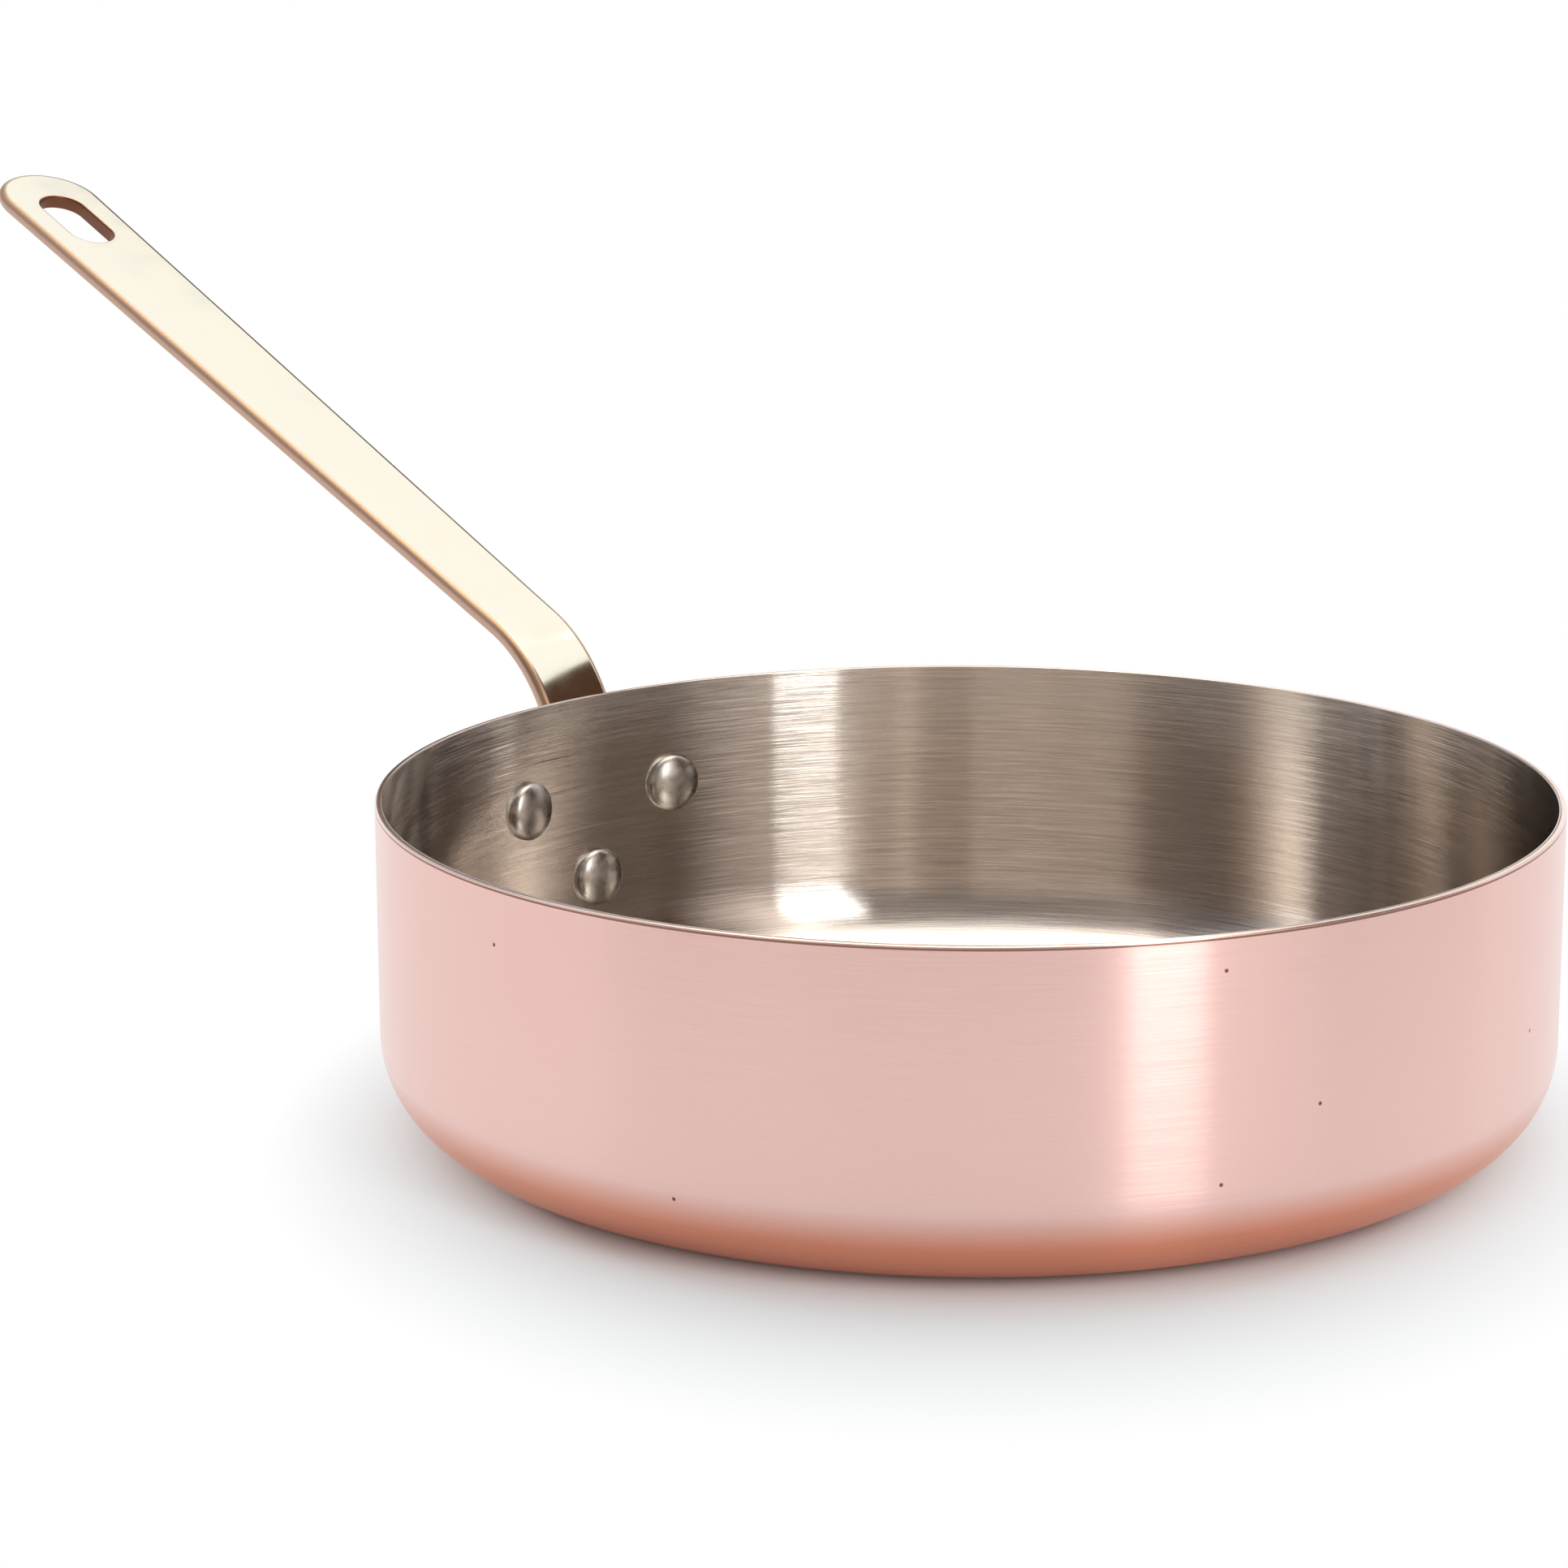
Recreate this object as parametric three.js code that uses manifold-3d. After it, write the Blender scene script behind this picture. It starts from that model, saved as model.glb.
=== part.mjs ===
// Straight-walled copper pan, lined with steel, with a long brass handle held by three rivets.
// Millimetres, +Z up. The origin is the centre of the base's underside, and the handle points along +X.
import * as THREE from "three";
import { mergeVertices } from "three/addons/utils/BufferGeometryUtils.js";
import Module from "manifold-3d";

// Bowl: a copper shell with a thin steel lining bonded to its inside.
const BOWL_DIAMETER = 240;
const BOWL_HEIGHT = 67.8;
const CORNER_RADIUS = 20; // outside, where the base turns up into the wall
const COPPER_WALL = 1.2;
const LINING_WALL = 0.3;
const BOND_GAP = 0.1; // between the copper and the steel
const RIM_ROUND = 0.3; // rounding of the copper's outer rim edge
const LINING_ROUND = 0.1; // rounding of the lining's rim edge

// Handle: a flat brass bar that leaves the wall on a bend and then runs straight up to a round tip.
const HANDLE_THICKNESS = 3.5;
const NECK_WIDTH = 18; // where the bend leaves the wall
const TIP_WIDTH = 26.5; // across the round tip
const EDGE_ROUND = 0.7; // rounding of the bar's long edges
const BEND_RADIUS = 38; // of the face that looks at the wall and then up
const HANDLE_INCLINE = 23; // degrees above level
const STRAIGHT_LENGTH = 215.5; // from the end of the bend to the tip
const SLOT_LENGTH = 24.3; // hanging slot, end to end
const SLOT_WIDTH = 11.5;
const SLOT_TO_TIP = 12.5; // metal between the slot and the tip

// Rivets: domed heads inside the bowl, low formed tails on the handle's root.
const LOWER_RIVET_RISE = 6.5; // above the top of the corner
const UPPER_RIVET_RISE = 18.7; // above the lower rivet
const UPPER_RIVET_SPACING = 41.8; // between the two upper rivets, across the handle
const HEAD_DIAMETER = 12.9;
const HEAD_EDGE = 0.4; // straight edge under the dome
const HEAD_DOME = 2.5;
const TAIL_DIAMETER = 11;
const TAIL_EDGE = 0.3;
const TAIL_DOME = 1.5;
const SHANK_DIAMETER = 6;
const ROOT_MARGIN = 4; // metal of the handle's root around each rivet tail
const BEND_RISE = 2.3; // from the upper rivets up to where the bend starts

// Clearances
const SEAT_GAP = 0.3; // between the handle's root and the wall, and under each rivet head and tail
const SHANK_GAP = 0.3; // around each rivet's shank in its hole

// Facets
const BOWL_SEGMENTS = 80;
const CORNER_STEPS = 6;
const EDGE_STEPS = 2;
const RIVET_SEGMENTS = 24;
const DOME_STEPS = 4;
const SWEEP_STEPS = 48;
const ROUND_STEPS = 12;

// Sizes that follow from the ones above
const wallRadius = BOWL_DIAMETER / 2;
const wallThickness = COPPER_WALL + BOND_GAP + LINING_WALL;
const innerRadius = wallRadius - wallThickness;
const cornerCentre = wallRadius - CORNER_RADIUS;
const rootRadius = wallRadius + SEAT_GAP;
const rootOuterRadius = rootRadius + HANDLE_THICKNESS;
const lowerRivetZ = CORNER_RADIUS + LOWER_RIVET_RISE;
const upperRivetZ = lowerRivetZ + UPPER_RIVET_RISE;
const upperRivetTurn = Math.asin(UPPER_RIVET_SPACING / BOWL_DIAMETER);
const bendStartZ = upperRivetZ + BEND_RISE;
const incline = THREE.MathUtils.degToRad(HANDLE_INCLINE);
const bendTurn = Math.PI / 2 - incline;
const bendEnd = new THREE.Vector3(
  rootRadius + BEND_RADIUS * (1 - Math.cos(bendTurn)),
  0,
  bendStartZ + BEND_RADIUS * Math.sin(bendTurn),
);
const handleAlong = new THREE.Vector3(Math.cos(incline), 0, Math.sin(incline));
const tipEnd = bendEnd.clone().addScaledVector(handleAlong, STRAIGHT_LENGTH);
const holeRadius = SHANK_DIAMETER / 2 + SHANK_GAP;
const rivets = [
  { name: "rivet_upper_left", turn: upperRivetTurn, z: upperRivetZ },
  { name: "rivet_upper_right", turn: -upperRivetTurn, z: upperRivetZ },
  { name: "rivet_lower", turn: 0, z: lowerRivetZ },
];

const wasm = await Module();
wasm.setup();

// A closed geometry as a solid that can be joined and cut.
function solidOf(geometry) {
  const bare = geometry.clone();
  bare.deleteAttribute("normal");
  bare.deleteAttribute("uv");
  const merged = mergeVertices(bare, 1e-4);
  return new wasm.Manifold(
    new wasm.Mesh({
      numProp: 3,
      vertProperties: new Float32Array(merged.attributes.position.array),
      triVerts: new Uint32Array(merged.index.array),
    }),
  );
}

function geometryOf(solid) {
  const mesh = solid.getMesh();
  const geometry = new THREE.BufferGeometry();
  geometry.setAttribute("position", new THREE.BufferAttribute(mesh.vertProperties, 3));
  geometry.setIndex(new THREE.BufferAttribute(mesh.triVerts, 1));
  geometry.computeVertexNormals();
  return geometry;
}

// Points of an arc in a profile, from one angle to another, ends included.
function arcPoints(centreX, centreY, radiusX, radiusY, from, to, steps) {
  return Array.from({ length: steps + 1 }, (_, i) => {
    const angle = from + ((to - from) * i) / steps;
    return new THREE.Vector2(centreX + radiusX * Math.cos(angle), centreY + radiusY * Math.sin(angle));
  });
}

// A profile of radius and height turned round the Z axis.
function turned(profile, segments) {
  return new THREE.LatheGeometry(profile, segments).rotateX(Math.PI / 2);
}

// The corner curve of the bowl at a given depth inside its outer face, from the base to the wall.
function cornerCurve(depth) {
  const radius = CORNER_RADIUS - depth;
  return arcPoints(cornerCentre, CORNER_RADIUS, radius, radius, -Math.PI / 2, 0, CORNER_STEPS);
}

// A layer of the bowl between two depths, open at the top.
function bowlLayer(outerDepth, innerDepth, rimRound) {
  const rimCentreX = wallRadius - outerDepth - rimRound;
  const rimCentreY = BOWL_HEIGHT - rimRound;
  const profile = [
    new THREE.Vector2(0, outerDepth),
    ...cornerCurve(outerDepth),
    ...arcPoints(rimCentreX, rimCentreY, rimRound, rimRound, 0, Math.PI / 2, EDGE_STEPS),
    new THREE.Vector2(wallRadius - innerDepth, BOWL_HEIGHT),
    ...cornerCurve(innerDepth).reverse(),
    new THREE.Vector2(0, innerDepth),
  ];
  return turned(profile, BOWL_SEGMENTS);
}

// Places a shape that stands along +X, level with the base, at a rivet.
function atRivet(geometry, rivet) {
  return geometry.rotateZ(rivet.turn).translate(0, 0, rivet.z);
}

// The holes that the rivets' shanks go through, as one cutter for every layer.
function rivetHoles() {
  const reach = 2 * (wallThickness + SEAT_GAP + HANDLE_THICKNESS + HEAD_DIAMETER);
  const cutters = rivets.map((rivet) => {
    const bore = new THREE.CylinderGeometry(holeRadius, holeRadius, reach, RIVET_SEGMENTS);
    bore.rotateZ(-Math.PI / 2).translate(wallRadius, 0, 0);
    return solidOf(atRivet(bore, rivet));
  });
  return cutters.reduce((all, one) => all.add(one));
}

const holes = rivetHoles();

function copperShell() {
  return geometryOf(solidOf(bowlLayer(0, COPPER_WALL, RIM_ROUND)).subtract(holes));
}

function steelLining() {
  const lining = bowlLayer(COPPER_WALL + BOND_GAP, wallThickness, LINING_ROUND);
  return geometryOf(solidOf(lining).subtract(holes));
}

// Section of the handle's bar: x across it, y from its upper face to its underside.
function barSection() {
  const half = NECK_WIDTH / 2 - EDGE_ROUND;
  const deep = HANDLE_THICKNESS - EDGE_ROUND;
  const section = new THREE.Shape();
  section.absarc(half, deep, EDGE_ROUND, 0, Math.PI / 2);
  section.absarc(-half, deep, EDGE_ROUND, Math.PI / 2, Math.PI);
  section.absarc(-half, EDGE_ROUND, EDGE_ROUND, Math.PI, 1.5 * Math.PI);
  section.absarc(half, EDGE_ROUND, EDGE_ROUND, 1.5 * Math.PI, 2 * Math.PI);
  return section;
}

// The upper face of the bar in the handle's plane: up the wall, round the bend, straight to the tip.
class HandleLine extends THREE.Curve {
  constructor() {
    super();
    this.rise = bendStartZ - (lowerRivetZ + upperRivetZ) / 2;
    this.bend = BEND_RADIUS * bendTurn;
    this.length = this.rise + this.bend + STRAIGHT_LENGTH;
  }

  getPoint(t, target = new THREE.Vector3()) {
    const along = t * this.length - this.rise;
    if (along < 0) return target.set(rootRadius, 0, bendStartZ + along);
    if (along > this.bend) return target.copy(bendEnd).addScaledVector(handleAlong, along - this.bend);
    const turn = along / BEND_RADIUS;
    const out = BEND_RADIUS * (1 - Math.cos(turn));
    return target.set(rootRadius + out, 0, bendStartZ + BEND_RADIUS * Math.sin(turn));
  }
}

// The bar widens steadily from the neck to the middle of its round tip.
function widenBar(bar) {
  const neck = new THREE.Vector3(rootRadius, 0, bendStartZ).dot(handleAlong);
  const tip = tipEnd.dot(handleAlong) - TIP_WIDTH / 2;
  const place = bar.getAttribute("position");
  const point = new THREE.Vector3();
  for (let i = 0; i < place.count; i++) {
    point.fromBufferAttribute(place, i);
    const share = Math.max(0, (point.dot(handleAlong) - neck) / (tip - neck));
    const added = (share * (TIP_WIDTH - NECK_WIDTH)) / 2;
    place.setY(i, point.y + Math.sign(point.y) * added);
  }
  return bar;
}

// An outline drawn on the handle's upper face, x along it from the tip, cut right through the bar.
function throughBar(outline, margin) {
  const depth = HANDLE_THICKNESS + 2 * margin;
  const block = new THREE.ExtrudeGeometry(outline, { depth, bevelEnabled: false, curveSegments: ROUND_STEPS });
  block.translate(0, 0, -HANDLE_THICKNESS - margin);
  return solidOf(block.rotateY(-incline).translate(tipEnd.x, tipEnd.y, tipEnd.z));
}

// Everything of the straight bar up to its round tip.
function tipOutline() {
  const radius = TIP_WIDTH / 2;
  const outline = new THREE.Shape();
  outline.moveTo(-STRAIGHT_LENGTH, radius);
  outline.lineTo(-STRAIGHT_LENGTH, -radius);
  outline.absarc(-radius, 0, radius, -Math.PI / 2, Math.PI / 2);
  return outline;
}

function slotOutline() {
  const radius = SLOT_WIDTH / 2;
  const outline = new THREE.Shape();
  outline.absarc(-SLOT_TO_TIP - radius, 0, radius, -Math.PI / 2, Math.PI / 2);
  outline.absarc(-SLOT_TO_TIP - SLOT_LENGTH + radius, 0, radius, Math.PI / 2, 1.5 * Math.PI);
  return outline;
}

// The bar's straight run ends in a half circle, so what lies past it is trimmed off.
function handleBar() {
  const bar = new THREE.ExtrudeGeometry(barSection(), {
    steps: SWEEP_STEPS,
    curveSegments: EDGE_STEPS,
    extrudePath: new HandleLine(),
  });
  const whole = solidOf(widenBar(bar));
  const tip = throughBar(tipOutline(), HANDLE_THICKNESS);
  const slot = throughBar(slotOutline(), HANDLE_THICKNESS);
  const tipBlock = new THREE.BoxGeometry(TIP_WIDTH, 2 * TIP_WIDTH, 4 * HANDLE_THICKNESS);
  tipBlock.rotateY(-incline).translate(tipEnd.x, tipEnd.y, tipEnd.z);
  const corners = solidOf(tipBlock).subtract(tip);
  return whole.subtract(corners).subtract(slot);
}

// The handle's root: a rounded triangle of metal that hugs the wall round the three rivets.
function handleRoot() {
  const radius = TAIL_DIAMETER / 2 + ROOT_MARGIN;
  const halfSpacing = UPPER_RIVET_SPACING / 2;
  const lean = Math.atan2(UPPER_RIVET_RISE, halfSpacing);
  const outline = new THREE.Shape();
  outline.absarc(halfSpacing, upperRivetZ, radius, lean - Math.PI / 2, Math.PI / 2);
  outline.absarc(-halfSpacing, upperRivetZ, radius, Math.PI / 2, 1.5 * Math.PI - lean);
  outline.absarc(0, lowerRivetZ, radius, -Math.PI / 2 - lean, lean - Math.PI / 2);
  const block = new THREE.ExtrudeGeometry(outline, {
    depth: rootOuterRadius,
    bevelEnabled: false,
    curveSegments: ROUND_STEPS,
  });
  // The outline's x and y become the part's y and z, and the block runs out along +X.
  block.rotateX(Math.PI / 2).rotateZ(Math.PI / 2);
  const ring = [
    new THREE.Vector2(rootRadius, lowerRivetZ - 2 * radius),
    new THREE.Vector2(rootOuterRadius, lowerRivetZ - 2 * radius),
    new THREE.Vector2(rootOuterRadius, upperRivetZ + 2 * radius),
    new THREE.Vector2(rootRadius, upperRivetZ + 2 * radius),
    new THREE.Vector2(rootRadius, lowerRivetZ - 2 * radius),
  ];
  return solidOf(block).intersect(solidOf(turned(ring, BOWL_SEGMENTS)));
}

function handle() {
  return geometryOf(handleBar().add(handleRoot()).subtract(holes));
}

// One rivet: a dome inside the bowl, a shank through every layer, and a low dome on the handle's root.
function rivetShape(rivet) {
  const headRadius = HEAD_DIAMETER / 2;
  const tailRadius = TAIL_DIAMETER / 2;
  const headSeat = Math.sqrt(innerRadius ** 2 - headRadius ** 2) - SEAT_GAP;
  const tailSeat = rootOuterRadius + SEAT_GAP;
  const domeBase = headSeat - HEAD_EDGE;
  const tailBase = tailSeat + TAIL_EDGE;
  const profile = [
    ...arcPoints(0, domeBase, headRadius, HEAD_DOME, -Math.PI / 2, 0, DOME_STEPS),
    new THREE.Vector2(headRadius, headSeat),
    new THREE.Vector2(SHANK_DIAMETER / 2, headSeat),
    new THREE.Vector2(SHANK_DIAMETER / 2, tailSeat),
    new THREE.Vector2(tailRadius, tailSeat),
    ...arcPoints(0, tailBase, tailRadius, TAIL_DOME, 0, Math.PI / 2, DOME_STEPS),
  ];
  profile[0].x = 0;
  profile[profile.length - 1].x = 0;
  const shape = new THREE.LatheGeometry(profile, RIVET_SEGMENTS).rotateZ(-Math.PI / 2);
  return atRivet(shape, rivet);
}

const copper = new THREE.MeshStandardMaterial({ color: 0xe3b5a6, roughness: 0.28, metalness: 1 });
const steel = new THREE.MeshStandardMaterial({ color: 0xb9b2a8, roughness: 0.32, metalness: 1 });
const brass = new THREE.MeshStandardMaterial({ color: 0xf0d9ae, roughness: 0.12, metalness: 1 });
const rivetSteel = new THREE.MeshStandardMaterial({ color: 0xb4aea6, roughness: 0.22, metalness: 1 });

function named(name, geometry, material) {
  const mesh = new THREE.Mesh(geometry, material);
  mesh.name = name;
  return mesh;
}

const pan = new THREE.Group();
pan.name = "pan";
pan.add(named("copper_shell", copperShell(), copper));
pan.add(named("steel_lining", steelLining(), steel));
pan.add(named("handle", handle(), brass));
for (const rivet of rivets) pan.add(named(rivet.name, rivetShape(rivet), rivetSteel));

export default pan;
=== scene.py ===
import math

import bmesh
import bpy
from mathutils import Matrix, Vector
from mathutils.geometry import delaunay_2d_cdt


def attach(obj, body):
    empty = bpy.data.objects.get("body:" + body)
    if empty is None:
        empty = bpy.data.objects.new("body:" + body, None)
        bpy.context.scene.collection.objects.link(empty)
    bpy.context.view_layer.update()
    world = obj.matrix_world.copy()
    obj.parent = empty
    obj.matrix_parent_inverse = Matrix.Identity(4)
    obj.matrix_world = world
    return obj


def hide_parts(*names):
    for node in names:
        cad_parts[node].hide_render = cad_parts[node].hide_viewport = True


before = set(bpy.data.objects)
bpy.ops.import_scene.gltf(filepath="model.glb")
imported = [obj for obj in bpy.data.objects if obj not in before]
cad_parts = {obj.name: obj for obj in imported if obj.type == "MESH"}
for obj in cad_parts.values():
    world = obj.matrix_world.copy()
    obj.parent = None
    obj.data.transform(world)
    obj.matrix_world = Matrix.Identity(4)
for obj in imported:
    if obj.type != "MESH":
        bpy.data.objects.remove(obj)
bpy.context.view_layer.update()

# Bowl, in metres: copper outside, steel inside
BOWL_RADIUS = 0.120
BOWL_HEIGHT = 0.0678
CORNER_RADIUS = 0.020
COPPER_WALL = 0.0012
LINING_WALL = 0.0003
BOND_LINE = 0.00002
RIM_ROUND = 0.00045
LINING_ROUND = 0.00012
BOWL_SEGMENTS = 288
CORNER_STEPS = 14

# Handle: a flat bar bent away from the wall
HANDLE_THICKNESS = 0.0035
EDGE_ROUND = 0.0017
SLOT_ROUND = 0.0005
EDGE_STEPS = 6
NECK_WIDTH = 0.018
TIP_WIDTH = 0.0265
SEAT_GAP = 0.00005
SEAT_RADIUS = BOWL_RADIUS + SEAT_GAP
BEND_START_Z = 0.0475
BEND_RADIUS = 0.038
BEND_TURN = math.radians(67.0)
STRAIGHT_LENGTH = 0.2155
SLOT_LENGTH = 0.0243
SLOT_WIDTH = 0.0115
SLOT_TO_TIP = 0.0125
ROOT_LOBE = 0.0095
ROOT_FILLET = 0.004
FLATTEN_START = 0.010
FLATTEN_END = 0.055
EAR_TOP = 0.009
EAR_END = 0.020
EAR_INNER = 0.009
EAR_OUTER = 0.015
# Where the root's fillets run into the neck, near enough to take its width there
FILLET_NEAR = 0.008

# How finely the handle's mesh is cut
EDGE_RINGS = 2 * (EDGE_STEPS + 1)
OUTLINE_STEP = 0.0009
SLOT_STEP = 0.0007
SIDE_STEPS = 90
BLANK_REACH = 0.030
ROOT_PITCH = 0.0022
BAR_PITCH = 0.0055
RIM_MARGIN = 0.6
NORMAL_NUDGE = 0.0001
SAME_POINT = 1e-9

# Rivets: domed heads inside the bowl, low tails on the handle's root
UPPER_RIVET_Z = 0.0452
LOWER_RIVET_Z = 0.0265
RIVET_SPACING = 0.0418
HEAD_RADIUS = 0.00645
HEAD_LIP = 0.0004
HEAD_DOME = 0.0025
TAIL_RADIUS = 0.0055
TAIL_LIP = 0.0003
TAIL_DOME = 0.0015
RIVET_SINK = 0.0002
RIVET_SEGMENTS = 48
DOME_STEPS = 10

# Copper: satin lines, painted shade towards the foot where the wall mirrors the floor's shadow, and a few
# dark specks
COPPER_TONE = (0.865, 0.582, 0.537)
COPPER_DARK = (0.85, 0.567, 0.522)
COPPER_PALE = (0.88, 0.597, 0.552)
COPPER_ROUGHNESS = 0.25
COPPER_SMOOTH = 0.23
COPPER_ROUGH = 0.26
COPPER_LEAN = 0.25
COPPER_LINE_LENGTH = 0.030
COPPER_LINE_WIDTH = 0.00028
CLOUD_TONE = (0.842, 0.546, 0.486)
CLOUD_SCALE = 14.0
CLOUD_DETAIL = 2.0
CLOUD_LOW = 0.35
CLOUD_HIGH = 0.7
CLOUD_SHARE = 0.35
# Painted shade: a deep orange towards the foot, for the shadowed floor that the lower wall mirrors
FOOT_SHADE_TONE = (0.82, 0.335, 0.215)
FOOT_SHADE_TOP = 0.0172
FOOT_SHADE_LOW = 0.0098
SPECK_TONE = (0.22, 0.08, 0.05)
SPECK_SCALE = 48.0
SPECK_CORE = 0.012
SPECK_EDGE = 0.024
SPECK_RARITY = 0.86

# Painted shade: a thin dark line runs round the outside, just under the rim's rounding, with a painted
# highlight on the pale lip above it
RIM_SHADE_TONE = (0.30, 0.15, 0.11)
RIM_LINE_LOW = BOWL_HEIGHT - 0.00085
RIM_LINE_TOP = BOWL_HEIGHT - 0.00035
RIM_LINE_SOFT = 0.0001
LIP_HIGHLIGHT_TONE = (0.96, 0.76, 0.68)

# Lining: steel brushed round the bowl, smoother on its floor
LINING_TONE = (0.60, 0.56, 0.51)
LINING_DARK = (0.58, 0.525, 0.475)
LINING_PALE = (0.76, 0.705, 0.645)
LINING_ROUGHNESS = 0.31
LINING_SMOOTH = 0.15
LINING_ROUGH = 0.18
LINING_LEAN = 0.8
LINING_FLOOR_LEAN = 0.15
LINING_LINE_LENGTH = 0.022
LINING_LINE_WIDTH = 0.00030

# Very fine brush lines, which spread the glow on the wall
FINE_LENGTH = 0.020
FINE_WIDTH = 0.00004
LEVEL_START = 0.25
LEVEL_END = 0.75
LINE_DETAIL = 4.0
LINE_ROUGHNESS = 0.65
ACROSS_THE_LINES = 0.25
NOISE_LOW = 0.3
NOISE_HIGH = 0.7

# Brass: polished faces, with shares of the edge's turn where painted shade darkens its rounding, side and
# slot, for the dark surroundings they mirror and the shade inside the slot
BRASS_TONE = (0.98, 0.91, 0.76)
BRASS_WORN = (0.99, 0.925, 0.765)
BRASS_BRIGHT = (1.0, 0.955, 0.82)
BRASS_ROUGHNESS = 0.10
BRASS_SMOOTH = 0.07
BRASS_ROUGH = 0.13
BRASS_WEAR_SCALE = 90.0
WEAR_DETAIL = 3.0
# Painted shade tones: brown on the rounding, tan on the side, dark in the slot
ROUNDING_SHADE_TONE = (0.46, 0.31, 0.19)
ROUNDING_END = 0.30
ROUNDING_ROUGH = 0.30
SIDE_SHADE_TONE = (0.60, 0.40, 0.30)
SIDE_START = 0.55
SIDE_END = 0.95
SLOT_SHADE_TONE = (0.20, 0.085, 0.05)
SLOT_START = 0.3
SLOT_END = 0.8

# Rivets: satin steel
RIVET_TONE = (0.55, 0.52, 0.48)
RIVET_DARK = (0.50, 0.47, 0.43)
RIVET_PALE = (0.60, 0.57, 0.53)
RIVET_ROUGHNESS = 0.31
RIVET_SMOOTH = 0.26
RIVET_ROUGH = 0.36
RIVET_WEAR_SCALE = 700.0

# Camera, fitted to the photo
CAMERA_PLACE = Vector((-0.64194, 0.62710, 0.28451))
CAMERA_AIM = Vector((0.72313, -0.64989, -0.23391))
CAMERA_ROLL = -0.0024
CAMERA_LENS = 104.31
CAMERA_SENSOR = 36.0
CAMERA_NEAR = 0.05
CAMERA_BEARING = math.radians(135.67)

# Tall soft box, on a bearing to the right of the camera
STRIP_BEARING = math.radians(35.6)
STRIP_DISTANCE = 1.2
STRIP_HEIGHT = 0.60
STRIP_WIDTH = 0.34
STRIP_TALL = 1.10
STRIP_GLOW = 4.2

# Curtain round the pan
CURTAIN_RADIUS = 1.7
CURTAIN_STEP = 2.0
FRONT_TONE = (0.27, 0.23, 0.21)
FADED_TONE = (0.34, 0.29, 0.265)
DARK_TONE = (0.13, 0.11, 0.11)
DIM_TONE = (0.55, 0.55, 0.60)
PALE_TONE = (0.80, 0.76, 0.74)
GLOW_TONE = (1.35, 1.17, 1.08)
SOFT_TONE = (0.70, 0.60, 0.55)
BROWN_TONE = (0.07, 0.035, 0.022)
# Each stop of the curtain: bearing to the right of the camera in degrees, foot, head and tone
CURTAIN = (
    (-150.0, 0.42, 1.5, DIM_TONE),
    (-74.0, 0.42, 1.9, DIM_TONE),
    (-66.0, 0.30, 2.8, DARK_TONE),
    (-56.0, 0.25, 2.8, DARK_TONE),
    (-40.0, 0.20, 3.4, FADED_TONE),
    (-20.0, 0.20, 3.4, FRONT_TONE),
    (8.0, 0.22, 3.4, FRONT_TONE),
    (42.0, 0.30, 3.4, FRONT_TONE),
    (46.0, 0.30, 2.8, GLOW_TONE),
    (60.0, 0.26, 2.8, SOFT_TONE),
    (70.0, 0.20, 2.8, BROWN_TONE),
    (108.0, 0.20, 2.8, BROWN_TONE),
    (110.0, 0.25, 0.9, PALE_TONE),
    (150.0, 0.25, 0.9, PALE_TONE),
)
# A bright card over the pan, set back from the camera
OVERHEAD_BACK = 0.3
OVERHEAD_HEIGHT = 1.5
OVERHEAD_WIDTH = 1.3
OVERHEAD_DEPTH = 1.1
OVERHEAD_TONE = (3.5, 3.1, 2.85)
# A dark flag behind the handle
FLAG_START = 0.25
FLAG_BEARING = math.radians(-50.0)
FLAG_DISTANCE = 0.45
FLAG_WIDTH = 0.30
FLAG_LOW = 0.08
FLAG_TOP = 0.50
FLAG_TONE = (0.05, 0.04, 0.03)

# Floor: an oval of paper takes the shadow, and the rest glows white
PAPER_TONE = (0.71, 0.755, 0.77)
FLOOR_REACH = 12.0
SHADOW_SHIFT = 0.012
SHADOW_SQUEEZE = 1.22
SHADOW_INNER = 0.112
SHADOW_OUTER = 0.173

WELD = 1e-6
SHARP_ANGLE = math.radians(40.0)

upper_rivet_turn = math.asin(RIVET_SPACING / (2 * BOWL_RADIUS))
bend_length = BEND_RADIUS * BEND_TURN
tip_along = bend_length + STRAIGHT_LENGTH


def smooth_step(value, low, high):
    share = min(max((value - low) / (high - low), 0.0), 1.0)
    return share * share * (3.0 - 2.0 * share)


def add_node(tree, kind, plugs=None, **settings):
    """A node with its settings. Each plug is a value or an output of another node."""
    node = tree.nodes.new(kind)
    for key, value in settings.items():
        setattr(node, key, value)
    for name, plug in (plugs or {}).items():
        if isinstance(plug, bpy.types.NodeSocket):
            tree.links.new(plug, node.inputs[name])
        else:
            node.inputs[name].default_value = plug
    return node


def add_math(tree, operation, first, second=0.0):
    return add_node(tree, "ShaderNodeMath", {0: first, 1: second}, operation=operation).outputs[0]


def vector_math(tree, operation, plugs, output="Vector"):
    return add_node(tree, "ShaderNodeVectorMath", plugs, operation=operation).outputs[output]


def new_object(name, mesh):
    piece = bpy.data.objects.new(name, mesh)
    bpy.context.scene.collection.objects.link(piece)
    return piece


def add_point_values(mesh, name, values):
    attribute = mesh.attributes.new(name, "FLOAT", "POINT")
    attribute.data.foreach_set("value", values)


# Materials


def new_metal(name, colour, roughness):
    """A metal with constant values on its shader, and the node tree to dress it further."""
    material = bpy.data.materials.new(name)
    material.use_nodes = True
    shader = material.node_tree.nodes["Principled BSDF"]
    shader.inputs["Base Color"].default_value = (*colour, 1.0)
    shader.inputs["Metallic"].default_value = 1.0
    shader.inputs["Roughness"].default_value = roughness
    return material, material.node_tree, shader


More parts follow.
